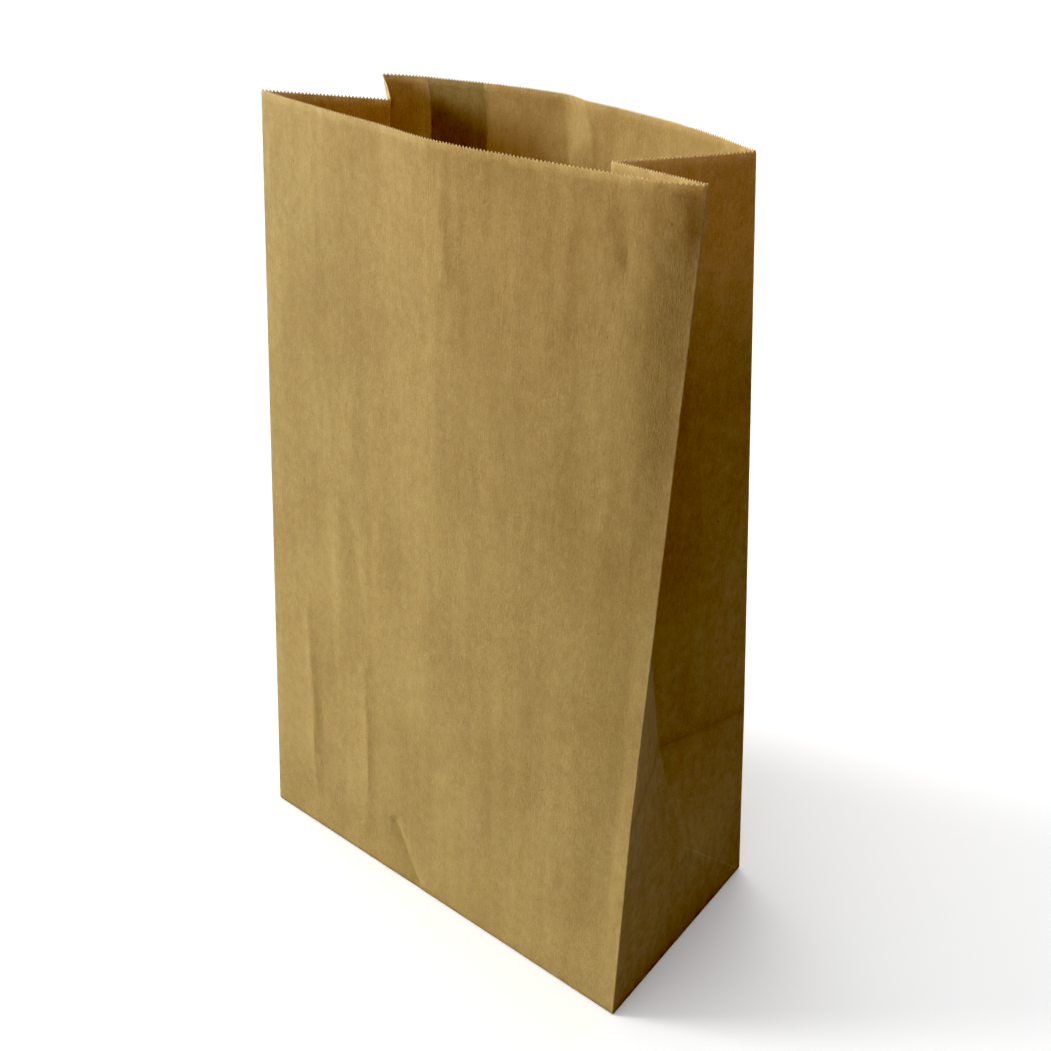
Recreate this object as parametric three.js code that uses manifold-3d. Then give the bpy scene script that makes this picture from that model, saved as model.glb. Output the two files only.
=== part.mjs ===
// A brown paper lunch bag standing open: one folded and glued sheet of kraft paper.
// It is a block-bottom bag. A tube with a glued lap seam down its back panel is folded shut
// at one end into a flat rectangular floor, and its two sides are gussets that fold inward.
// Units are millimetres and +Z is up. The origin is on the floor's underside, at its centre.
import * as THREE from 'three';
import { mergeVertices } from 'three/addons/utils/BufferGeometryUtils.js';
import Module from 'manifold-3d';

// ---- driving dimensions -------------------------------------------------------------------
const WIDTH = 163; // front and back panels
const DEPTH = 84; // side gussets, when flat
const HEIGHT = 270; // floor to the top of the cut edge
const PAPER = 0.12; // thickness of one layer
const FOLD_HEIGHT = 80; // crease left where the floor lay folded against the bag
const SEAM_CENTRE = -56; // lap seam on the back panel, measured along x
const SEAM_WIDTH = 22;
const TOOTH_DEPTH = 0.7; // pinked cut round the mouth

// The panels bulge outward between their folds, more and more towards the mouth.
const FRONT_BOW = 12; // bulge of the front panel at the mouth
const BACK_BOW = 21; // bulge of the back panel at the mouth
const BOW_GROWTH = 1.5; // the bulge grows with this power of the height

// Floor flaps. The gusset ends fold in first as triangles, whose 45 degree sides are the folds
// that join them to the long flaps. The front flap folds over them, and then the back flap.
const FLOOR_LAYERS = 3;
const OUTER_FLAP_REACH = 56; // outer flap, from the back edge of the floor
const OUTER_FLAP_CHAMFER = 24; // its corners are folded off at 45 degrees

// Mesh: columns along each strip of wall, and teeth in each column.
const PANEL_COLUMNS = 12;
const GUSSET_COLUMNS = 4;
const PANEL_TEETH = 12;
const GUSSET_TEETH = 9;
const SEAM_STEP = 0.3; // run over which the seam's edge steps up by one layer

const HALF_WIDTH = WIDTH / 2;
const HALF_DEPTH = DEPTH / 2;
const FLOOR_TOP = FLOOR_LAYERS * PAPER;

// ---- fold lines ---------------------------------------------------------------------------
// Each upright fold runs from the floor through the fold crease to the mouth, in straight runs.
// A gusset's centre also turns at the point where its two diagonal creases meet.
const line = (...points) => points.map(([x, y, z]) => new THREE.Vector3(x, y, z));

const FRONT_LEFT = line([-HALF_WIDTH, -HALF_DEPTH, 0], [-80, -36, FOLD_HEIGHT], [-79, -21, HEIGHT]);
const FRONT_RIGHT = line([HALF_WIDTH, -HALF_DEPTH, 0], [81, -39, FOLD_HEIGHT], [81, -31, 269.4]);
const BACK_RIGHT = line([HALF_WIDTH, HALF_DEPTH, 0], [79, 33, FOLD_HEIGHT], [72, 11, 268.6]);
const BACK_LEFT = line([-HALF_WIDTH, HALF_DEPTH, 0], [-80, 38, FOLD_HEIGHT], [-79, 29, 269]);
const GUSSET_RIGHT = line([HALF_WIDTH, 0, 0], [79, 0, HALF_DEPTH], [67, -2, FOLD_HEIGHT],
  [47, -16, 266.7]);
const GUSSET_LEFT = line([-HALF_WIDTH, 0, 0], [-79, 0, HALF_DEPTH], [-67, 1, FOLD_HEIGHT],
  [-48, 3, 268]);

// The point of a fold line at a level, where level 0 is the floor and level 1 is the mouth.
function alongFold(fold, level) {
  const z = level * fold.at(-1).z;
  const above = Math.max(1, fold.findIndex((point) => point.z >= z));
  const low = fold[above - 1];
  const high = fold[above];
  return low.clone().lerp(high, (z - low.z) / (high.z - low.z));
}

// ---- wall strips, in order round the bag, seen from above, anticlockwise --------------------
// The seam's edges are fractions of the back panel, which runs from right to left.
const seamStart = (HALF_WIDTH - SEAM_CENTRE - SEAM_WIDTH / 2) / WIDTH;
const seamEnd = (HALF_WIDTH - SEAM_CENTRE + SEAM_WIDTH / 2) / WIDTH;
const seamStep = SEAM_STEP / WIDTH;

const STRIPS = [
  { from: FRONT_LEFT, to: FRONT_RIGHT, bow: FRONT_BOW, columns: PANEL_COLUMNS, teeth: PANEL_TEETH },
  { from: FRONT_RIGHT, to: GUSSET_RIGHT, bow: 0, columns: GUSSET_COLUMNS, teeth: GUSSET_TEETH },
  { from: GUSSET_RIGHT, to: BACK_RIGHT, bow: 0, columns: GUSSET_COLUMNS, teeth: GUSSET_TEETH },
  { from: BACK_RIGHT, to: BACK_LEFT, bow: BACK_BOW, columns: PANEL_COLUMNS, teeth: PANEL_TEETH,
    seam: [seamStart, seamEnd] },
  { from: BACK_LEFT, to: GUSSET_LEFT, bow: 0, columns: GUSSET_COLUMNS, teeth: GUSSET_TEETH },
  { from: GUSSET_LEFT, to: FRONT_LEFT, bow: 0, columns: GUSSET_COLUMNS, teeth: GUSSET_TEETH },
];

// A point of a strip's middle surface, a fraction s of the way across it.
function onStrip(strip, s, level) {
  const start = alongFold(strip.from, level);
  const end = alongFold(strip.to, level);
  const point = start.clone().lerp(end, s);
  const outward = new THREE.Vector3(end.y - start.y, start.x - end.x, 0).normalize();
  const bow = strip.bow * Math.sin(Math.PI * s) * level ** BOW_GROWTH;
  return point.addScaledVector(outward, bow);
}

// How far the two faces of the wall stand outside the middle surface, in layers of paper. In the
// seam the far edge of the sheet lies over the near one, and past the seam it settles back.
function facesAt({ strip, s }) {
  if (!strip.seam || s < strip.seam[0]) {
    return { outside: 0.5, inside: -0.5 };
  }
  if (s < strip.seam[1]) {
    return { outside: 1.5, inside: -0.5 };
  }
  const lift = (1 - s) / (1 - strip.seam[1]);
  return { outside: 0.5 + lift, inside: -0.5 + lift };
}

// The fractions where a strip has a column, from 0 up to but not including 1. The strip with
// the seam has two columns close together at each edge of it.
function columnsOf(strip) {
  const fractions = Array.from({ length: strip.columns }, (_, i) => i / strip.columns);
  if (strip.seam) {
    for (const edge of strip.seam) {
      fractions.push(edge - seamStep / 2, edge + seamStep / 2);
    }
  }
  return fractions.sort((a, b) => a - b);
}

// Every column round the bag: its strip, its fraction and the number of teeth above it.
function allColumns() {
  return STRIPS.flatMap((strip) => {
    const fractions = columnsOf(strip);
    return fractions.map((s, i) => {
      const next = fractions[i + 1] ?? 1;
      const teeth = Math.max(1, Math.round((next - s) * strip.columns * strip.teeth));
      return { strip, s, next, teeth };
    });
  });
}

// ---- rings --------------------------------------------------------------------------------
// Moves a closed ring of points sideways, so that each edge moves by the same distance.
function offsetRing(ring, distances) {
  return ring.map((point, i) => {
    const before = ring[(i + ring.length - 1) % ring.length];
    const after = ring[(i + 1) % ring.length];
    const inNormal = new THREE.Vector2(point.y - before.y, before.x - point.x).normalize();
    const outNormal = new THREE.Vector2(after.y - point.y, point.x - after.x).normalize();
    const middle = inNormal.clone().add(outNormal).normalize();
    const reach = distances[i] / middle.dot(outNormal);
    return new THREE.Vector3(point.x + middle.x * reach, point.y + middle.y * reach, point.z);
  });
}

const outsideOf = (columns) => columns.map((column) => PAPER * facesAt(column).outside);
const insideOf = (columns) => columns.map((column) => PAPER * facesAt(column).inside);

// The fine columns of the cut edge: a tip and a root for each tooth.
function edgeColumns(columns) {
  return columns.flatMap(({ strip, s, next, teeth }) => {
    const steps = 2 * teeth;
    return Array.from({ length: steps }, (_, i) => ({
      strip,
      s: s + ((next - s) * i) / steps,
      drop: i % 2 === 1 ? 0 : TOOTH_DEPTH,
    }));
  });
}

// ---- triangles ----------------------------------------------------------------------------
// Joins two rings of the same length with a band of quads.
function band(triangles, lower, upper) {
  lower.forEach((point, i) => {
    const j = (i + 1) % lower.length;
    triangles.push([point, lower[j], upper[j]], [point, upper[j], upper[i]]);
  });
}

// Joins the top ring of columns to the finer ring of the cut edge, one fan for each column.
function toothedBand(triangles, lower, upper, columns) {
  let first = 0;
  columns.forEach(({ teeth }, i) => {
    const left = lower[i];
    const right = lower[(i + 1) % lower.length];
    const steps = 2 * teeth;
    for (let k = 0; k < steps; k += 1) {
      const a = upper[first + k];
      const b = upper[(first + k + 1) % upper.length];
      if (k === teeth) {
        triangles.push([left, right, a]);
      }
      triangles.push([k < teeth ? left : right, b, a]);
    }
    first += steps;
  });
}

// Closes a ring that lies in a level plane with a fan from its middle.
function cap(triangles, ring, z) {
  const middle = new THREE.Vector3(0, 0, z);
  ring.forEach((point, i) => triangles.push([middle, point, ring[(i + 1) % ring.length]]));
}

const flipped = (triangles) => triangles.map(([a, b, c]) => [a, c, b]);

// ---- the folded sheet ---------------------------------------------------------------------
// Levels of the walls. The lowest five step by a gusset column, so that the diagonal creases
// from the floor's corners run from node to node.
const gussetStep = HALF_DEPTH / GUSSET_COLUMNS;
const CREASE_LEVELS = [0, 1, 2, 3, 4].map((i) => (i * gussetStep) / HEIGHT);
const WALL_LEVELS = [...CREASE_LEVELS, FOLD_HEIGHT / HEIGHT, 0.42, 0.56, 0.7, 0.84, 0.96];

function wallRings(columns, distances) {
  return WALL_LEVELS.map((level) => {
    const ring = columns.map(({ strip, s }) => onStrip(strip, s, level));
    return offsetRing(ring, distances);
  });
}

function edgeRing(edge, distances) {
  const ring = edge.map(({ strip, s }) => onStrip(strip, s, 1));
  const moved = offsetRing(ring, distances);
  moved.forEach((point, i) => { point.z -= edge[i].drop; });
  return moved;
}

// One skin of the bag, with its floor at the height given.
function skin(columns, side, floorHeight) {
  const edge = edgeColumns(columns);
  const rings = wallRings(columns, side(columns));
  rings[0].forEach((point) => { point.z = floorHeight; });
  const cut = edgeRing(edge, side(edge));
  const triangles = [];
  rings.slice(1).forEach((ring, i) => band(triangles, rings[i], ring));
  toothedBand(triangles, rings.at(-1), cut, columns);
  const floor = [];
  cap(floor, rings[0], floorHeight);
  return { triangles: [...triangles, ...flipped(floor)], cut };
}

function sheetTriangles() {
  const columns = allColumns();
  const outer = skin(columns, outsideOf, 0);
  const inner = skin(columns, insideOf, FLOOR_TOP);
  const rim = [];
  band(rim, outer.cut, inner.cut);
  return [...outer.triangles, ...rim, ...flipped(inner.triangles)];
}

// ---- solids -------------------------------------------------------------------------------
const wasm = await Module();
wasm.setup();

function geometryOf(triangles) {
  const positions = triangles.flat().flatMap(({ x, y, z }) => [x, y, z]);
  const geometry = new THREE.BufferGeometry();
  geometry.setAttribute('position', new THREE.Float32BufferAttribute(positions, 3));
  return geometry;
}

function solidOf(geometry) {
  const bare = geometry.clone();
  bare.deleteAttribute('normal');
  bare.deleteAttribute('uv');
  const merged = mergeVertices(bare, 1e-4);
  const vertProperties = merged.attributes.position.array;
  const triVerts = new Uint32Array(merged.index.array);
  return new wasm.Manifold(new wasm.Mesh({ numProp: 3, vertProperties, triVerts }));
}

function geometryFrom(solid) {
  const { vertProperties, triVerts } = solid.getMesh();
  const geometry = new THREE.BufferGeometry();
  geometry.setAttribute('position', new THREE.BufferAttribute(vertProperties, 3));
  geometry.setIndex(new THREE.BufferAttribute(triVerts, 1));
  geometry.computeVertexNormals();
  return geometry;
}

// A flat plate with the outline given, from one height to another.
function plate(outline, bottom, top) {
  const shape = new THREE.Shape(outline.map(([x, y]) => new THREE.Vector2(x, y)));
  const geometry = new THREE.ExtrudeGeometry(shape, { depth: top - bottom, bevelEnabled: false });
  geometry.translate(0, 0, bottom);
  return solidOf(geometry);
}

// The strip of the underside in front of the outer flap, where the floor is one layer thinner.
function outerFlapRecess() {
  const past = WIDTH;
  const flapFront = HALF_DEPTH - OUTER_FLAP_REACH;
  const chamferBack = flapFront + OUTER_FLAP_CHAMFER;
  const inner = HALF_WIDTH - OUTER_FLAP_CHAMFER;
  return plate([
    [-past, -past], [past, -past], [past, chamferBack], [HALF_WIDTH, chamferBack],
    [inner, flapFront], [-inner, flapFront], [-HALF_WIDTH, chamferBack], [-past, chamferBack],
  ], -HEIGHT, PAPER);
}

// A triangular gusset end on the floor inside. The sign says at which end of the bag.
function sideFlap(sign) {
  const wall = sign * HALF_WIDTH;
  const tip = sign * (HALF_WIDTH - HALF_DEPTH);
  const corners = [[wall, -HALF_DEPTH], [wall, HALF_DEPTH], [tip, 0]];
  return plate(corners, PAPER, FLOOR_TOP + PAPER);
}

function bagGeometry() {
  const sheet = solidOf(geometryOf(sheetTriangles()));
  const floored = sheet.add(sideFlap(1)).add(sideFlap(-1));
  return geometryFrom(floored.subtract(outerFlapRecess()));
}

const kraft = new THREE.MeshStandardMaterial({ color: 0xa98a58, roughness: 0.85, metalness: 0 });

const bag = new THREE.Mesh(bagGeometry(), kraft);
bag.name = 'folded_paper_sheet';

const group = new THREE.Group();
group.add(bag);

export default group;
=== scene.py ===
"""A brown paper lunch bag standing open: the looks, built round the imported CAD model.

The bag is one folded sheet. Its walls are six strips between upright folds: the front panel, two
half gussets on the right, the back panel and two half gussets on the left. A place on the walls
is given by its strip, a fraction s across the strip and a row. A row is named by its height on a
fold that reaches the full height of the bag. Shapes are worked out in millimetres and scaled to
metres when a mesh is made.
"""
import math
from collections import namedtuple

import bpy
import numpy as np
from mathutils import Euler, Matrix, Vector


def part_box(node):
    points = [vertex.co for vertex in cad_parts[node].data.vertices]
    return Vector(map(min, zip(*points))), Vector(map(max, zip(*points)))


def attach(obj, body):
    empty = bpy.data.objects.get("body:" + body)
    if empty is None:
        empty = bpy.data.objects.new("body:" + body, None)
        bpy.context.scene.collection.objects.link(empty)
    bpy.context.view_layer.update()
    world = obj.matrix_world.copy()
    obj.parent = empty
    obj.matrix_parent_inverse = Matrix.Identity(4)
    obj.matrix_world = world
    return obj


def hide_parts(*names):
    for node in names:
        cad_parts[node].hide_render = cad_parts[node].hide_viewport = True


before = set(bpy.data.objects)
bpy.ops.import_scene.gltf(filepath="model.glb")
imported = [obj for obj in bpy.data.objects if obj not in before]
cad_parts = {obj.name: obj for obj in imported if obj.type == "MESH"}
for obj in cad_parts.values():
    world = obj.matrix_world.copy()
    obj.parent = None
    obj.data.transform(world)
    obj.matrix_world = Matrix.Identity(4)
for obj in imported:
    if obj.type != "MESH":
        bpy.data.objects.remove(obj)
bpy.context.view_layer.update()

NODE = "folded_paper_sheet"
MM = 0.001

# ---- sizes, from the CAD box ----------------------------------------------------------------
LOW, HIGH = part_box(NODE)
HALF_WIDTH = (HIGH[0] - LOW[0]) / 2 / MM
HALF_DEPTH = min(-LOW[1], HIGH[1]) / MM
HEIGHT = HIGH[2] / MM

PAPER = 0.12  # one layer of paper
FOLD_HEIGHT = 80  # crease left where the floor lay folded against the bag
FOLD_ROUND = 0.35  # half the width over which an upright fold turns
TOOTH_DEPTH = 0.75  # of the pinked edge round the mouth
PANEL_TEETH = 144
GUSSET_TEETH = 36
SEAM_CENTRE = -56  # the glued lap up the back panel
SEAM_WIDTH = 22
SEAM_EDGE = 0.15  # half the width of the step at the edge of a layer
LAP_GAP = 0.02  # between the two layers of the seam
FLOOR_TOP = 3 * PAPER
FLAP_REACH = 56  # of each floor flap, from its edge of the floor
FLAP_CHAMFER = 24  # the folded-off corners of a floor flap
FLAP_INSET = 0.3  # of the floor flaps from the walls
FLOOR_INSET = 1.2  # of the floor's upper sheet from the walls
FLOOR_SINK = 0.06  # how far that sheet's underside is in the floor of the shell
FOOT_OUTER, FOOT_INNER = -0.35, -0.6  # where the wall's two faces meet the floor, measured outwards
PLAIN_AT_FOLD, PLAIN_AT_FLOOR = 12, 16  # how far from there the ripples reach their full height
CREASE_AT_FOLD = 4  # how far from an upright fold the creases reach theirs


# ---- fold lines -----------------------------------------------------------------------------
def fold_line(side_x, side_y, *moves):
    """An upright fold. It starts at its place on the floor's outline. Each move is how far in
    from there the fold has come, across x and y, and the height where it has."""
    x, y = side_x * HALF_WIDTH, side_y * HALF_DEPTH
    places = [(x - side_x * dx, y - (side_y or 1) * dy, z) for dx, dy, z in moves]
    return np.array([(x, y, 0.0), *places])


FRONT_LEFT = fold_line(-1, -1, (1.2, 6, FOLD_HEIGHT), (2.5, 21.5, HEIGHT))
FRONT_RIGHT = fold_line(1, -1, (0.5, 3, FOLD_HEIGHT), (-1.6, 11, HEIGHT - 0.6))
BACK_RIGHT = fold_line(1, 1, (2.5, 9, FOLD_HEIGHT), (9.5, 31, HEIGHT - 1.4))
BACK_LEFT = fold_line(-1, 1, (1.5, 4, FOLD_HEIGHT), (4.6, 10.8, HEIGHT - 9), (2.5, 11, HEIGHT - 1))
# A gusset's centre has an apex, half as high as the floor is deep, where its creases meet.
GUSSET_RIGHT = fold_line(1, 0, (2.5, 0, HALF_DEPTH), (14.5, 2, FOLD_HEIGHT),
                         (34.8, 16.5, HEIGHT - 3.3))
GUSSET_LEFT = fold_line(-1, 0, (2.5, 0, HALF_DEPTH), (14.5, -1, FOLD_HEIGHT),
                        (33.8, -2.8, HEIGHT - 2))

# How far each panel's mouth stands out from the straight line between its corners.
FRONT_MOUTH = ((0, 0), (0.06, 2), (0.18, 4.9), (0.42, 9.8), (0.53, 12), (0.7, 10.8), (0.86, 7.2),
               (0.93, 4.6), (1, 0))
BACK_MOUTH = ((0, 0), (0.12, 7), (0.25, 13), (0.4, 17), (0.5, 19), (0.57, 21), (0.72, 17.5),
              (0.84, 11), (0.95, 5), (1, 0))
BOW_GROWTH = 1.5  # how the bow builds up from the floor to the mouth

Strip = namedtuple("Strip", "name start end mouth teeth width")
STRIPS = (
    Strip("front", FRONT_LEFT, FRONT_RIGHT, FRONT_MOUTH, PANEL_TEETH, 2 * HALF_WIDTH),
    Strip("right_front", FRONT_RIGHT, GUSSET_RIGHT, None, GUSSET_TEETH, HALF_DEPTH),
    Strip("right_back", GUSSET_RIGHT, BACK_RIGHT, None, GUSSET_TEETH, HALF_DEPTH),
    Strip("back", BACK_RIGHT, BACK_LEFT, BACK_MOUTH, PANEL_TEETH, 2 * HALF_WIDTH),
    Strip("left_back", BACK_LEFT, GUSSET_LEFT, None, GUSSET_TEETH, HALF_DEPTH),
    Strip("left_front", GUSSET_LEFT, FRONT_LEFT, None, GUSSET_TEETH, HALF_DEPTH),
)


# ---- the smooth shape of the walls ----------------------------------------------------------
def along_fold(fold, row):
    """The points of a fold line on some rows. Above the fold crease the rows of a fold that ends
    lower are closer together, so that the last row is the mouth on every fold."""
    share = np.clip((row - FOLD_HEIGHT) / (HEIGHT - FOLD_HEIGHT), 0, 1)
    z = row - share * (HEIGHT - fold[-1, 2])
    return np.stack([np.interp(z, fold[:, 2], fold[:, axis]) for axis in range(3)], axis=-1)


def smooth_curve(points, at):
    """A smooth curve through some points, whose slope at each is the mean of those beside it."""
    x, y = np.array(points, dtype=float).T
    slope = np.diff(y) / np.diff(x)
    tangent = np.concatenate([slope[:1], (slope[1:] + slope[:-1]) / 2, slope[-1:]])
    k = np.clip(np.searchsorted(x, at, side="right") - 1, 0, len(x) - 2)
    width = x[k + 1] - x[k]
    t = (at - x[k]) / width
    return ((2 * t**3 - 3 * t**2 + 1) * y[k] + (t**3 - 2 * t**2 + t) * width * tangent[k]
            + (3 * t**2 - 2 * t**3) * y[k + 1] + (t**3 - t**2) * width * tangent[k + 1])


def panel_surface(strip, s, row):
    """The front or back panel: flat at the floor, and bowed out towards the mouth."""
    a, b = along_fold(strip.start, row), along_fold(strip.end, row)
    point = a + (b - a) * s[..., None]
    outward = np.stack([b[..., 1] - a[..., 1], a[..., 0] - b[..., 0]], axis=-1)
    outward /= np.linalg.norm(outward, axis=-1, keepdims=True)
    bow = smooth_curve(strip.mouth, s) * (row / HEIGHT)**BOW_GROWTH
    point[..., :2] += outward * bow[..., None]
    return point


def is_centre(fold):
    return fold is GUSSET_RIGHT or fold is GUSSET_LEFT


def towards_centre(strip, s):
    """How far each place on a half gusset is from its corner fold to the gusset's centre."""
    return s if is_centre(strip.end) else 1 - s


def gusset_surface(strip, s, row):
    """Half a gusset. Below the fold crease it has an upright triangle on the floor's edge, which
    ends at the diagonal from the corner to the apex, and a part above it that leans in."""
    corner, centre = (strip.start, strip.end) if is_centre(strip.end) else (strip.end, strip.start)
    c = towards_centre(strip, s)
    share = c[..., None]
    upper_corner = along_fold(corner, np.maximum(row, FOLD_HEIGHT))
    upper_centre = along_fold(centre, np.maximum(row, FOLD_HEIGHT))
    upper = upper_corner + (upper_centre - upper_corner) * share
    foot = corner[0] + (centre[0] - corner[0]) * share
    diagonal = corner[0] + (centre[1] - corner[0]) * share
    rise = centre[1, 2] * c
    low = np.clip(row / np.maximum(rise, 1e-6), 0, 1)[..., None]
    high = np.clip((row - rise) / (FOLD_HEIGHT - rise), 0, 1)[..., None]
    lower = foot + (diagonal - foot) * low + (upper - diagonal) * high
    return np.where((row < FOLD_HEIGHT)[..., None], lower, upper)


def strip_surface(strip, s, row):
    """The middle of the paper on a strip, before creases and ripples."""
    surface = panel_surface if strip.mouth else gusset_surface
    return surface(strip, s, row)


# ---- ripples and creases --------------------------------------------------------------------
def value_noise(x, y, seed):
    """Smooth noise from -1 to 1, one bump to each unit of x and y."""
    table = np.random.default_rng(seed).uniform(-1, 1, (64, 64))
    i, j = np.floor(x).astype(int), np.floor(y).astype(int)
    fx, fy = x - i, y - j
    fx, fy = fx * fx * (3 - 2 * fx), fy * fy * (3 - 2 * fy)
    low = table[i % 64, j % 64] * (1 - fx) + table[(i + 1) % 64, j % 64] * fx
    high = table[i % 64, (j + 1) % 64] * (1 - fx) + table[(i + 1) % 64, (j + 1) % 64] * fx
    return low * (1 - fy) + high * fy


def path_gap(x, z, path):
    """How far each place is from a path, and how far along the path that is, from 0 to 1."""
    path = np.array(path, dtype=float)
    lengths = np.linalg.norm(np.diff(path, axis=0), axis=1)
    before = np.concatenate([[0], np.cumsum(lengths)])
    gap, where = np.full(x.shape, np.inf), np.zeros(x.shape)
    for (x0, z0), (x1, z1), length, start in zip(path[:-1], path[1:], lengths, before):
        ux, uz = (x1 - x0) / length, (z1 - z0) / length
        t = np.clip((x - x0) * ux + (z - z0) * uz, 0, length)
        here = np.hypot(x - x0 - t * ux, z - z0 - t * uz)
        near = here < gap
        gap = np.where(near, here, gap)
        where = np.where(near, (start + t) / before[-1], where)
    return gap, where


# A crease is a ridge along a path, or a valley where its height is negative. Its sides fall away
# over the width, and it fades out over the taper, a share of its length, at each end.
Crease = namedtuple("Crease", "path height width taper", defaults=(0.3,))

# Where the creases are: along x on the panels and y on the gussets, in millimetres, and height.
CREASES = {
    "front": (
        Crease(((63, 266), (64.5, 258), (66, 249), (68, 240)), -0.8, 4),
        Crease(((59, 262), (61, 254), (64, 246)), 0.35, 2),
        Crease(((67, 280), (70.5, 270), (76, 266.5), (79.5, 262), (82, 254), (83, 246)),
               1.4, 6, 0.4),
        Crease(((75, 10), (76, 90), (77, 160)), -0.35, 3),
        Crease(((-62, 112), (-59, 80), (-58, 50), (-60, 14)), 2.0, 9),
        Crease(((-70, 264), (-74, 255), (-75, 238)), 0.4, 4),
        Crease(((9, 262), (9.5, 249), (10.5, 238), (7, 226)), 0.7, 3),
        Crease(((3, 230), (1, 208)), -0.25, 3),
        Crease(((9, 212), (14, 199), (20, 182)), 0.12, 1.2),
        Crease(((-38, 148), (-34, 121), (-29, 94)), -0.5, 4),
        Crease(((-74, 76), (-58, 79), (-42, 80.5)), 0.3, 2.5),
        Crease(((-56, 69), (-53, 36)), -0.5, 4),
        Crease(((-34.5, 84.5), (-28, 84)), 0.4, 1.5, 0.4),
        Crease(((-31, 84), (-30.2, 52), (-30.5, 12)), 0.6, 3),
        Crease(((-18, 28), (-11, 12), (-4.5, 0.5)), -0.9, 2.6, 0.1),
        Crease(((-13.5, 39), (-2, 30)), 0.4, 1.8),
        Crease(((-1, 52), (7, 65), (14, 76)), -0.35, 6),
    ),
    "back": (
        Crease(((-30, 262), (-24, 246), (-22, 222)), 0.5, 5),
        Crease(((-4, 276), (2, 262), (6, 246)), -1.6, 5, 0.4),
        Crease(((-14, 276), (-12, 258), (-8, 240)), 1.0, 6, 0.4),
        Crease(((46, 150), (52, 118), (50, 92)), 0.3, 4),
        Crease(((-66, 200), (-62, 160)), -0.3, 5),
        Crease(((10, 58), (2, 30), (5, 6)), -0.4, 3),
        Crease(((60, 40), (70, 12)), 0.35, 3),
    ),
    "right_front": (
        Crease(((-12, 150), (-20, 120)), 0.3, 4),
        Crease(((-16, 246), (-8, 226)), -0.3, 4),
    ),
    "right_back": (
        Crease(((20, 200), (14, 168)), -0.3, 4),
        Crease(((24, 116), (28, 96)), 0.3, 3),
    ),
    "left_back": (Crease(((16, 190), (22, 150)), 0.35, 4),),
    "left_front": (
        Crease(((-12, 214), (-20, 178)), -0.35, 4),
        Crease(((-24, 70), (-30, 40)), 0.3, 3),
    ),
}


# The ripples: how high, wide and long each kind is, and where its noise starts.
Ripple = namedtuple("Ripple", "height across up start_x start_z")
RIPPLES = (Ripple(0.12, 7, 60, 20, 5), Ripple(0.45, 19, 110, 9, 3), Ripple(0.3, 26, 34, 4, 8))


def ripples(name, x, z):
    """The cockle of kraft paper: shallow ripples that run up the bag."""
    seed = 10 * [strip.name for strip in STRIPS].index(name) + 3
    height = 0
    for k, kind in enumerate(RIPPLES):
        place = x / kind.across + kind.start_x, z / kind.up + kind.start_z
        height = height + kind.height * value_noise(*place, seed + k)
    return height


def smooth_step(t):
    t = np.clip(t, 0, 1)
    return t * t * (3 - 2 * t)


def relief(strip, s, x, z):
    """How far the paper stands out from the smooth strip, in millimetres."""
    beside_fold = np.minimum(s, 1 - s) * strip.width
    height = ripples(strip.name, x, z) * smooth_step(beside_fold / PLAIN_AT_FOLD)
    height *= smooth_step(z / PLAIN_AT_FLOOR)
    near_fold = smooth_step(beside_fold / CREASE_AT_FOLD)
    for crease in CREASES.get(strip.name, ()):
        gap, where = path_gap(x, z, crease.path)
        fade = np.clip(np.minimum(where, 1 - where) / crease.taper, 0, 1)
        height += crease.height * np.exp(-gap / crease.width) * fade * near_fold
    return height


# ---- the wall grid --------------------------------------------------------------------------
def wall_rows():
    """The rows of the walls, closer together near the floor, the fold crease and the mouth."""
    turn = 0.6
    first, last = turn, HEIGHT - TOOTH_DEPTH
    limits = (first, 12, FOLD_HEIGHT - turn, FOLD_HEIGHT + turn, 240, last)
    counts = (8, 32, 2, 38, 13)
    runs = [np.linspace(low, high, count, endpoint=False)
            for low, high, count in zip(limits[:-1], limits[1:], counts)]
    return np.append(np.concatenate(runs), last)


def back_fraction(x):
    """The fraction across the back panel, which runs from right to left, of a place on x."""
    return 0.5 - x / (2 * HALF_WIDTH)


SEAM_START = back_fraction(SEAM_CENTRE + SEAM_WIDTH / 2)
SEAM_END = back_fraction(SEAM_CENTRE - SEAM_WIDTH / 2)


def strip_columns(strip):
    """The fractions across a strip where it has a column: one at each tooth's root, one beside
    each upright fold and two at each edge of the lap seam."""
    turn = FOLD_ROUND / strip.width
    extra = [turn, 1 - turn]
    if strip.name == "back":
        step = SEAM_EDGE / strip.width
        extra += [SEAM_START - step, SEAM_START + step, SEAM_END - step, SEAM_END + step]
    return np.sort(np.concatenate([np.arange(strip.teeth) / strip.teeth, extra]))


def seam_gap(rows):
    """The thin gap between the two layers of the lap seam: a closed hollow inside the wall, so
    its faces look into the gap."""
    strip = next(strip for strip in STRIPS if strip.name == "back")
    s = strip_columns(strip)
    s = s[(s > SEAM_START) & (s < SEAM_END)]
    middle = strip_grid(strip, s, rows)[1:]
    edge = np.diff(middle, axis=1)[..., :2]
    way_out = np.stack([edge[..., 1], -edge[..., 0]], axis=-1)
    way_out /= np.linalg.norm(way_out, axis=-1, keepdims=True)
    way_out = np.concatenate([way_out, way_out[:, -1:]], axis=1)
    sides = []
    for distance in (PAPER / 2 + LAP_GAP / 2, PAPER / 2 - LAP_GAP / 2):
        side = middle.copy()
        side[..., :2] += way_out * distance
        sides.append(side)
    return closed_sheet(*sides)


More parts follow.
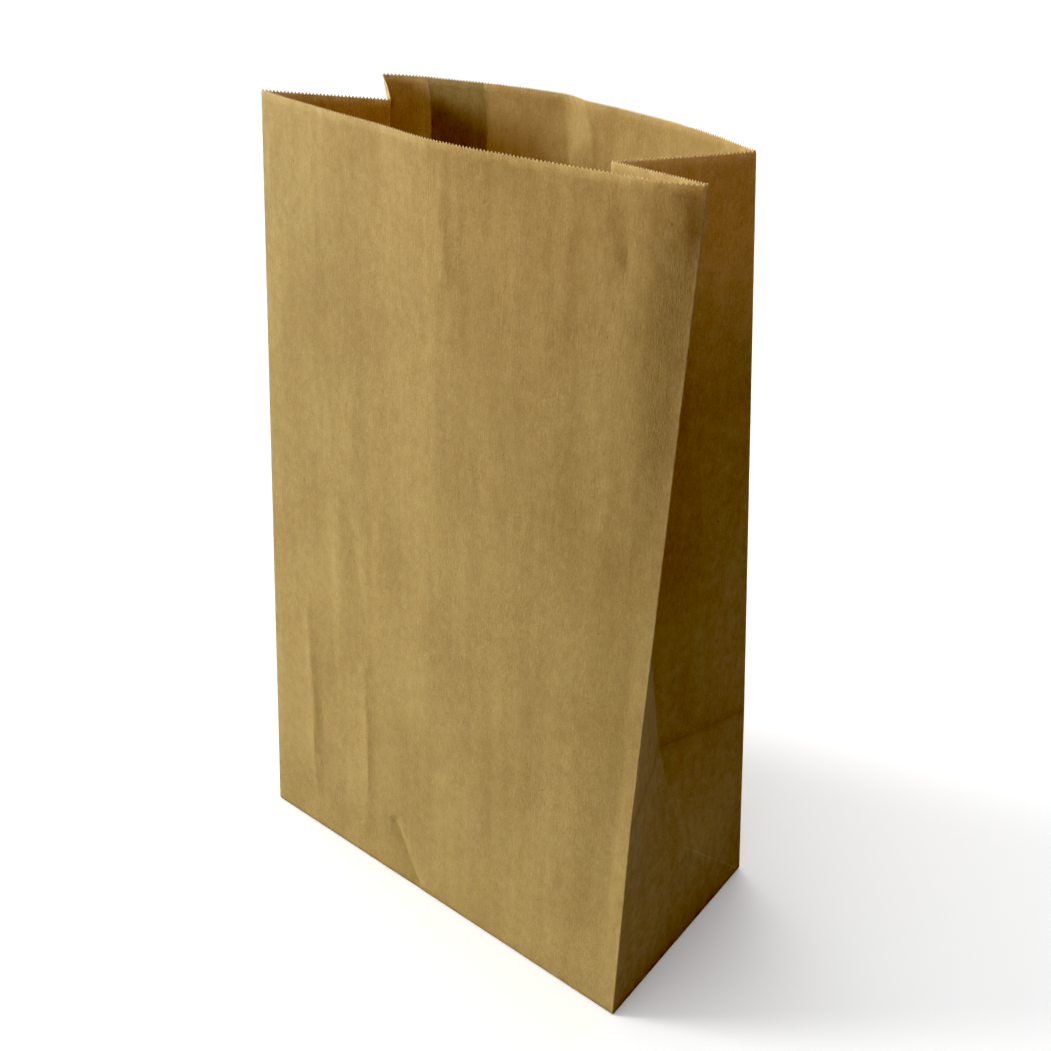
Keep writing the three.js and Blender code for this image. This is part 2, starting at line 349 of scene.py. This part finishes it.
def layer_faces(strip, s):
    """How far the outer and inner faces of the wall stand outside the middle surface, in layers.
    In the seam the sheet's far edge lies over its near edge, and the paper past it comes back."""
    outside, inside = np.full(len(s), 0.5), np.full(len(s), -0.5)
    if strip.name == "back":
        outside[(s > SEAM_START) & (s < SEAM_END)] = 1.5
        past = s > SEAM_END
        lift = (1 - s[past]) / (1 - SEAM_END)
        outside[past] += lift
        inside[past] += lift
    return outside * PAPER, inside * PAPER


def strip_grid(strip, s, rows):
    """The middle of the paper on a strip, with its creases and ripples."""
    grid_s, grid_row = np.meshgrid(s, rows)
    base = strip_surface(strip, grid_s, grid_row)
    ds, drow = 1e-3, 0.3
    right = strip_surface(strip, np.clip(grid_s + ds, 0, 1), grid_row)
    left = strip_surface(strip, np.clip(grid_s - ds, 0, 1), grid_row)
    up = strip_surface(strip, grid_s, np.minimum(grid_row + drow, HEIGHT))
    down = strip_surface(strip, grid_s, np.maximum(grid_row - drow, 0))
    normal = np.cross(right - left, up - down)
    normal /= np.linalg.norm(normal, axis=-1, keepdims=True)
    along = base[..., 0] if strip.mouth else base[..., 1]
    return base + normal * relief(strip, grid_s, along, base[..., 2])[..., None]


def offset_rings(rings, distance):
    """Closed rings moved sideways so that every edge moves by the distance at its column."""
    xy = rings[..., :2]
    before = xy - np.roll(xy, 1, axis=1)
    normal_in = np.stack([before[..., 1], -before[..., 0]], axis=-1)
    normal_in /= np.linalg.norm(normal_in, axis=-1, keepdims=True)
    normal_out = np.roll(normal_in, -1, axis=1)
    middle = normal_in + normal_out
    middle /= np.linalg.norm(middle, axis=-1, keepdims=True)
    reach = distance / np.sum(middle * normal_out, axis=-1)
    moved = rings.copy()
    moved[..., :2] += middle * reach[..., None]
    return moved


# ---- the walls as a mesh --------------------------------------------------------------------
def tooth_height(place):
    """The pinked edge: how far it stands above the roots at some places, counted in teeth."""
    phase = place - np.floor(place)
    return TOOTH_DEPTH * (1 - np.abs(2 * phase - 1))


def wall_mesh():
    """The walls and the floor as one closed shell, with the pinked edge round the mouth."""
    columns = [strip_columns(strip) for strip in STRIPS]
    rows = wall_rows()
    rings = np.concatenate([strip_grid(*pair, rows) for pair in zip(STRIPS, columns)], axis=1)
    faces_at = [layer_faces(*pair) for pair in zip(STRIPS, columns)]
    outside, inside = (np.concatenate(side) for side in zip(*faces_at))
    place = np.concatenate([s * strip.teeth for strip, s in zip(STRIPS, columns)])
    next_place = np.concatenate([np.append(s[1:], 1) * strip.teeth
                                 for strip, s in zip(STRIPS, columns)])

    outer, inner = offset_rings(rings, outside), offset_rings(rings, inside)
    # the tips, each between the two columns beside it
    tip_place = np.floor(next_place - 0.5) + 0.5
    tipped = np.flatnonzero(tip_place > place)
    share = ((tip_place - place) / (next_place - place))[tipped, None]
    after = (tipped + 1) % len(place)
    tips = [ring[tipped] + (ring[after] - ring[tipped]) * share + (0, 0, TOOTH_DEPTH)
            for ring in (outer[-1], inner[-1])]
    outer[-1, :, 2] += tooth_height(place)
    inner[-1, :, 2] += tooth_height(place)

    foot = [offset_rings(rings[:1], np.full(len(place), reach))
            for reach in (FOOT_OUTER, FOOT_INNER)]
    foot[0][..., 2] = 2 * PAPER
    foot[1][..., 2] = FLOOR_TOP
    outer, inner = np.concatenate([foot[0], outer]), np.concatenate([foot[1], inner])
    hubs = [(0, 0, 2 * PAPER), (0, 0, FLOOR_TOP)]
    gap_points, gap_faces = seam_gap(rows)
    points = np.concatenate([outer.reshape(-1, 3), inner.reshape(-1, 3), *tips, hubs])
    faces = wall_faces(outer.shape[:2], tipped)
    faces += [tuple(k + len(points) for k in face) for face in gap_faces]
    return np.concatenate([points, gap_points]), faces


def split_quads(a, b, c, d):
    """Two triangles for each four-sided face, always cut from its first corner to its third."""
    triangles = np.stack([np.stack([a, b, c], axis=-1), np.stack([a, c, d], axis=-1)])
    return triangles.reshape(-1, 3)


def wall_faces(shape, tipped):
    """The faces of the wall shell. Its points are the outer rings, the inner rings, the outer and
    inner tips, and the middles of the floor's two sides."""
    size, count, width = shape[0] * shape[1], len(tipped), shape[1]
    index = np.arange(size).reshape(shape)
    after = np.roll(index, -1, axis=1)
    outer = split_quads(index[:-1], after[:-1], after[1:], index[1:])
    faces = outer.tolist() + (outer[:, ::-1] + size).tolist()
    tip_at = {column: 2 * size + k for k, column in enumerate(tipped)}
    hub = 2 * size + 2 * count
    for j in range(width):
        root, root_after = index[-1, j], after[-1, j]
        if j in tip_at:
            tip = tip_at[j]
            faces.append((root, root_after, tip))
            faces.append((root + size, tip + count, root_after + size))
            faces.append((root, tip, tip + count, root + size))
            faces.append((tip, root_after, root_after + size, tip + count))
        else:
            faces.append((root, root_after, root_after + size, root + size))
        faces.append((hub, after[0, j], index[0, j]))
        faces.append((hub + 1, index[0, j] + size, after[0, j] + size))
    return faces


# ---- the floor ------------------------------------------------------------------------------
def floor_sheet():
    """The floor as seen from inside: it crowns a little, and the folded gusset ends lie on it as
    two triangles. It is a closed sheet, with a top and a bottom grid."""
    x, y = np.meshgrid(np.linspace(-1, 1, 131) * (HALF_WIDTH - FLOOR_INSET),
                       np.linspace(-1, 1, 69) * (HALF_DEPTH - FLOOR_INSET))
    in_triangle = HALF_DEPTH - np.abs(y) - (HALF_WIDTH - np.abs(x))
    crown = (1 - (x / HALF_WIDTH)**2) * (1 - (y / HALF_DEPTH)**2)
    crease = np.exp(-np.abs(in_triangle) / 1.5)
    cockle = value_noise(x / 14 + 30, y / 14 + 30, 77)
    top = (FLOOR_TOP + 0.1 + PAPER * smooth_step(in_triangle) + 0.7 * crown
           + (0.15 * cockle - 0.12 * crease) * np.minimum(crown * 6, 1))
    bottom = np.full(x.shape, FLOOR_TOP - FLOOR_SINK)
    return closed_sheet(np.stack([x, y, top], axis=-1), np.stack([x, y, bottom], axis=-1))


def closed_sheet(top, bottom):
    """A closed sheet between two grids of points, with its faces on the outside where the rows
    and columns of the top grid run anticlockwise."""
    rows, columns = top.shape[:2]
    size = rows * columns
    points = np.concatenate([top.reshape(-1, 3), bottom.reshape(-1, 3)])
    index = np.arange(size).reshape(rows, columns)
    upper = split_quads(index[:-1, :-1], index[:-1, 1:], index[1:, 1:], index[1:, :-1])
    rim = np.concatenate([index[0, :-1], index[:-1, -1], index[-1, :0:-1], index[:0:-1, 0]])
    side = np.stack([rim, rim + size, np.roll(rim, -1) + size, np.roll(rim, -1)], axis=-1)
    return points, upper.tolist() + (upper[:, ::-1] + size).tolist() + side.tolist()


def flap_outline(side_y, reach):
    """A floor flap, from the floor's front or back edge, with folded-off corners and a pinked
    free edge."""
    wide, narrow = HALF_WIDTH - FLAP_INSET, HALF_WIDTH - FLAP_CHAMFER
    hinge, free = side_y * (HALF_DEPTH - FLAP_INSET), side_y * (HALF_DEPTH - reach)
    count = round(2 * narrow / (2 * HALF_WIDTH / PANEL_TEETH))
    x = np.linspace(narrow, -narrow, 2 * count + 1)
    y = free + side_y * TOOTH_DEPTH * (np.arange(2 * count + 1) % 2)
    shoulder = free + side_y * FLAP_CHAMFER
    outline = [(-wide, hinge), (wide, hinge), (wide, shoulder), *zip(x, y), (-wide, shoulder)]
    return outline if side_y < 0 else outline[::-1]


def plate(outline, bottom, top):
    """A flat piece of paper: an outline that runs anticlockwise, raised from bottom to top."""
    count = len(outline)
    points = [(x, y, z) for z in (bottom, top) for x, y in outline]
    ring = list(range(count))
    faces = [ring[::-1], [k + count for k in ring]]
    faces += [(k, (k + 1) % count, (k + 1) % count + count, k + count) for k in ring]
    return points, faces


# ---- attributes the material reads ----------------------------------------------------------
# How strong the wear is along folds and edges, and how far from them it dies away; and how dark the
# painted shade along the gussets' fold crease is, and how far it reaches.
FOLD_WEAR, GUSSET_FOLD_WEAR, FOLD_WEAR_REACH = 1, 0.4, 0.7
MOUTH_WEAR, MOUTH_WEAR_REACH = 0.3, 0.8
# painted shade along the gussets' fold crease: how dark it is, and how far it reaches
PAINTED_CREASE_SHADE, PAINTED_CREASE_SHADE_REACH = 0.8, 0.9
TIP_WEAR = 0.6


def wall_attributes():
    """For each point of the wall shell: how worn the paper is, from 0 to 1, or below 0 in the
    painted shade of the gussets' fold crease, and how far above the diagonal creases it is, in
    millimetres."""
    columns = [strip_columns(strip) for strip in STRIPS]
    rows = wall_rows()
    wear_and_crease_shade, diagonal = [], []
    for strip, s in zip(STRIPS, columns):
        grid_s, row = np.meshgrid(s, rows)
        beside_fold = np.minimum(grid_s, 1 - grid_s) * strip.width
        fold_wear = FOLD_WEAR if strip.mouth else GUSSET_FOLD_WEAR
        wear_and_shade = np.exp(-beside_fold / FOLD_WEAR_REACH) * fold_wear
        wear_and_shade = np.maximum(wear_and_shade, MOUTH_WEAR * np.exp(-(HEIGHT - row) / MOUTH_WEAR_REACH))
        if not strip.mouth:
            # painted shade: values below 0 darken a band along the gussets' fold crease, where
            # shade falls
            wear_and_shade -= PAINTED_CREASE_SHADE * np.exp(-np.abs(row - FOLD_HEIGHT) / PAINTED_CREASE_SHADE_REACH)
        wear_and_crease_shade.append(wear_and_shade)
        c = 0 if strip.mouth else towards_centre(strip, grid_s)
        diagonal.append((row - HALF_DEPTH * c) * math.sqrt(0.5))
    return [np.concatenate(part, axis=1) for part in (wear_and_crease_shade, diagonal)]


def store_wall_attributes(mesh):
    """The points are the rows of the grid, with the foot row first, for the outer and then the
    inner face. The tips of the teeth, the middles of the floor and the seam's gap follow."""
    for name, grid in zip(("wear_and_crease_shade", "diagonal"), wall_attributes()):
        face = np.concatenate([grid[:1], grid]).ravel()
        values = np.zeros(len(mesh.vertices), dtype=np.float32)
        values[:2 * len(face)] = np.tile(face, 2)
        values[2 * len(face):] = TIP_WEAR if name == "wear_and_crease_shade" else HEIGHT
        mesh.attributes.new(name, "FLOAT", "POINT").data.foreach_set("value", values)


def make_piece(name, points, faces, smooth=True):
    mesh = bpy.data.meshes.new(name)
    mesh.from_pydata((np.asarray(points) * MM).tolist(), [], faces)
    mesh.polygons.foreach_set("use_smooth", [smooth] * len(mesh.polygons))
    piece = bpy.data.objects.new(name, mesh)
    bpy.context.scene.collection.objects.link(piece)
    return piece


def floor_flap(name, side_y, bottom):
    """One of the two glued flaps that make the underside."""
    outline = flap_outline(side_y, FLAP_REACH)
    return make_piece(name, *plate(outline, bottom, bottom + PAPER), smooth=False)


# ---- material -------------------------------------------------------------------------------
def add_node(tree, kind, inputs, **settings):
    """A shader node with its settings. Its inputs are set to a value or linked to a socket."""
    node = tree.nodes.new("ShaderNode" + kind)
    for name, value in settings.items():
        setattr(node, name, value)
    for name, value in inputs.items():
        if isinstance(value, bpy.types.NodeSocket):
            tree.links.new(value, node.inputs[name])
        else:
            node.inputs[name].default_value = value
    return node


def add_noise(tree, place, across, up, detail=2.0, roughness=0.5):
    """Noise whose bumps are about that wide and high, in millimetres."""
    scale = (1 / (across * MM), 1 / (across * MM), 1 / (up * MM))
    stretched = add_node(tree, "Mapping", {"Vector": place, "Scale": scale})
    noise = add_node(tree, "TexNoise", {"Vector": stretched.outputs["Vector"], "Scale": 1.0,
                                        "Detail": detail, "Roughness": roughness})
    return noise.outputs["Fac"]


def remap(tree, value, low, high, to_low, to_high):
    """The value scaled from one range to another, and kept inside it."""
    inputs = {"Value": value, "From Min": low, "From Max": high, "To Min": to_low,
              "To Max": to_high}
    return add_node(tree, "MapRange", inputs).outputs["Result"]


def multiply_add(tree, value, factor, added):
    node = add_node(tree, "Math", {}, operation="MULTIPLY_ADD")
    for socket, part in zip(node.inputs, (value, factor, added)):
        if isinstance(part, bpy.types.NodeSocket):
            tree.links.new(part, socket)
        else:
            socket.default_value = part
    return node.outputs["Value"]


def blend_colour(tree, factor, first, second):
    node = add_node(tree, "MixRGB", {"Fac": factor, "Color1": first, "Color2": second})
    return node.outputs["Color"]


def kraft_colour(tree, place, formation, crease, wear_and_crease_shade):
    """Unbleached kraft: cloudy, streaked up the bag, with dark and pale fibres, and paler where
    it is folded. Shade is painted into it, darker, where the wear value is below 0: the gussets'
    fold crease."""
    cloud = add_noise(tree, place, 30, 45, 1)
    streak = add_noise(tree, place, 4, 90, 1)
    grain = add_noise(tree, place, 0.45, 0.6, 1, 0.7)
    fibre = add_noise(tree, place, 0.3, 3.5, 1, 0.6)
    tone = multiply_add(tree, cloud, 0.55, 0.0)
    for noise, amount in ((streak, 0.35), (formation, 0.5), (grain, 0.8), (fibre, 0.5)):
        tone = multiply_add(tree, noise, amount, tone)
    shade = remap(tree, tone, 1.08, 1.62, 0, 1)
    colour = blend_colour(tree, shade, (0.375, 0.262, 0.091, 1), (0.49, 0.355, 0.134, 1))
    fleck = add_noise(tree, place, 0.7, 1.4, 0)
    dark = remap(tree, fleck, 0.84, 0.89, 0, 0.5)
    colour = blend_colour(tree, dark, colour, (0.2, 0.105, 0.035, 1))
    pale = remap(tree, fibre, 0.70, 0.80, 0, 0.4)
    colour = blend_colour(tree, pale, colour, (0.62, 0.47, 0.23, 1))
    colour = blend_colour(tree, crease, colour, (0.6, 0.45, 0.22, 1))
    # painted shade: darker where the wear value is below 0, along the gussets' fold crease
    painted_crease_shade = remap(tree, wear_and_crease_shade, 0, -1, 0, 0.35)
    return blend_colour(tree, painted_crease_shade, colour, (0.16, 0.09, 0.03, 1))


def kraft_material():
    """Kraft paper. Light goes through a layer of it, and comes out orange."""
    material = bpy.data.materials.new("kraft_paper")
    material.use_nodes = True
    tree = material.node_tree
    shader = tree.nodes["Principled BSDF"]
    place = add_node(tree, "TexCoord", {}).outputs["Object"]
    wear_and_crease_shade = add_node(tree, "Attribute", {}, attribute_name="wear_and_crease_shade").outputs["Fac"]
    diagonal = add_node(tree, "Attribute", {}, attribute_name="diagonal").outputs["Fac"]
    beside = add_node(tree, "Math", {0: diagonal}, operation="ABSOLUTE").outputs["Value"]
    diagonal_line = remap(tree, beside, 0, 0.7, 0.5, 0)

    formation = add_noise(tree, place, 3.2, 4.2, 2, 0.6)
    patchy = remap(tree, formation, 0.35, 0.65, 0.15, 0.5)
    line = add_node(tree, "Math", {0: wear_and_crease_shade, 1: diagonal_line}, operation="MAXIMUM")
    crease = add_node(tree, "Math", {0: line.outputs["Value"], 1: patchy}, operation="MULTIPLY")
    colour = kraft_colour(tree, place, formation, crease.outputs["Value"], wear_and_crease_shade)
    roughness = remap(tree, formation, 0.3, 0.7, 0.92, 0.74)

    cockle = add_noise(tree, place, 6, 16, 1)
    fine = add_noise(tree, place, 0.35, 1.4, 2, 0.65)
    line_bump = multiply_add(tree, diagonal_line, -0.2, multiply_add(tree, cockle, 0.35, 0.0))
    height = multiply_add(tree, fine, 0.11, line_bump)
    bump = add_node(tree, "Bump", {"Height": height, "Strength": 1.0, "Distance": MM})

    tree.links.new(colour, shader.inputs["Base Color"])
    tree.links.new(roughness, shader.inputs["Roughness"])
    tree.links.new(bump.outputs["Normal"], shader.inputs["Normal"])
    shader.inputs["Specular IOR Level"].default_value = 0.3
    shader.inputs["Subsurface Weight"].default_value = 1.0
    shader.inputs["Subsurface Radius"].default_value = (1.0, 0.93, 0.92)
    shader.inputs["Subsurface Scale"].default_value = 0.4 * MM
    return material


# ---- studio ---------------------------------------------------------------------------------
CAMERA_PLACE = (1.318, -1.623, 2.034)  # in widths of the bag
CAMERA_AZIMUTH, CAMERA_TILT, CAMERA_ROLL = 37.9, 29.6, 0.97


def add_camera():
    """A camera in front of the bag and to its right, which looks down at it."""
    width = 2 * HALF_WIDTH * MM
    data = bpy.data.cameras.new("camera")
    data.sensor_width = 36
    data.lens = 40.25
    data.clip_start = 0.01
    camera = bpy.data.objects.new("camera", data)
    camera.location = Vector(CAMERA_PLACE) * width
    angles = (CAMERA_AZIMUTH, CAMERA_TILT, CAMERA_ROLL)
    azimuth, tilt, roll = (math.radians(angle) for angle in angles)
    turn = Euler((math.pi / 2 - tilt, 0, azimuth)).to_matrix() @ Euler((0, 0, roll)).to_matrix()
    camera.rotation_euler = turn.to_euler()
    bpy.context.scene.collection.objects.link(camera)
    bpy.context.scene.camera = camera


def add_floor():
    """A wide pale sheet for the bag to stand on. It throws less light back than its look."""
    bpy.ops.mesh.primitive_plane_add(size=12, location=(0, 0, 0))
    floor = bpy.context.object
    floor.name = "floor"
    material = bpy.data.materials.new("floor")
    material.use_nodes = True
    tree = material.node_tree
    shader = tree.nodes["Principled BSDF"]
    seen = add_node(tree, "LightPath", {}).outputs["Is Camera Ray"]
    pale = blend_colour(tree, seen, (0.31, 0.31, 0.31, 1), (0.95, 0.95, 0.95, 1))
    tree.links.new(pale, shader.inputs["Base Color"])
    shader.inputs["Roughness"].default_value = 0.9
    shader.inputs["Specular IOR Level"].default_value = 0.2
    floor.data.materials.append(material)


def light_from(azimuth, elevation):
    """The way towards a light. Azimuth 0 is in front of the bag, and 90 is on its left."""
    azimuth, elevation = math.radians(azimuth), math.radians(elevation)
    return Vector((-math.sin(azimuth) * math.cos(elevation),
                   -math.cos(azimuth) * math.cos(elevation), math.sin(elevation)))


def add_sun(name, azimuth, elevation, strength, spread):
    """A far light, as wide as the spread, in degrees."""
    data = bpy.data.lights.new(name, "SUN")
    data.energy = strength
    data.angle = math.radians(spread)
    light = bpy.data.objects.new(name, data)
    way = light_from(azimuth, elevation)
    light.location = Vector((0, 0, HEIGHT / 2 * MM)) + way * 2
    light.rotation_euler = way.to_track_quat("Z", "Y").to_euler()
    bpy.context.scene.collection.objects.link(light)


def add_low_light(azimuth, elevation, distance, power):
    """A small soft light near the floor, which lights the foot of the front panel the most. The
    distance is in metres, and the camera doesn't see it."""
    data = bpy.data.lights.new("low", "AREA")
    data.energy = power
    data.size = 0.12
    light = bpy.data.objects.new("low", data)
    way = light_from(azimuth, elevation)
    light.location = Vector((0, -HALF_DEPTH * MM, 0)) + way * distance
    light.rotation_euler = way.to_track_quat("Z", "Y").to_euler()
    light.visible_camera = False
    bpy.context.scene.collection.objects.link(light)


def add_world(dim, bright, backdrop):
    """A studio whose walls are bright behind the bag on its left and dim in front, and which
    looks plain white."""
    world = bpy.data.worlds.new("studio")
    world.use_nodes = True
    tree = world.node_tree
    way = add_node(tree, "TexCoord", {}).outputs["Generated"]
    towards = add_node(tree, "VectorMath", {0: way, 1: light_from(132, 12)},
                       operation="DOT_PRODUCT").outputs["Value"]
    lighting = remap(tree, towards, 0.3, 1, dim, bright)
    seen = add_node(tree, "LightPath", {}).outputs["Is Camera Ray"]
    strength = add_node(tree, "Mix", {"Factor": seen, "A": lighting, "B": backdrop})
    tree.links.new(strength.outputs["Result"], tree.nodes["Background"].inputs["Strength"])
    tree.nodes["Background"].inputs["Color"].default_value = (1, 1, 1, 1)
    bpy.context.scene.world = world


def set_film():
    """Plain colours, with the shadows deepened, in green the most."""
    view = bpy.context.scene.view_settings
    view.view_transform = "Standard"
    view.use_curve_mapping = True
    view.curve_mapping.black_level = (0.033, 0.042, 0.029)
    view.curve_mapping.update()


def build():
    kraft = kraft_material()
    walls = make_piece("kraft_bag_walls", *wall_mesh())
    store_wall_attributes(walls.data)
    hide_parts(NODE)
    pieces = [
        walls,
        make_piece("kraft_bag_floor", *floor_sheet()),
        floor_flap("inner_floor_flap", -1, PAPER),
        floor_flap("outer_floor_flap", 1, 0),
    ]
    for piece in pieces:
        piece.data.materials.append(kraft)
        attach(piece, "root")
    add_camera()
    add_floor()
    add_sun("key", 60, 19, 2.9, 20)
    add_sun("top", 10, 78, 2.0, 50)
    add_low_light(30, 14, 0.27, 0.075)
    add_world(0.03, 1.75, 1.0)
    set_film()


build()
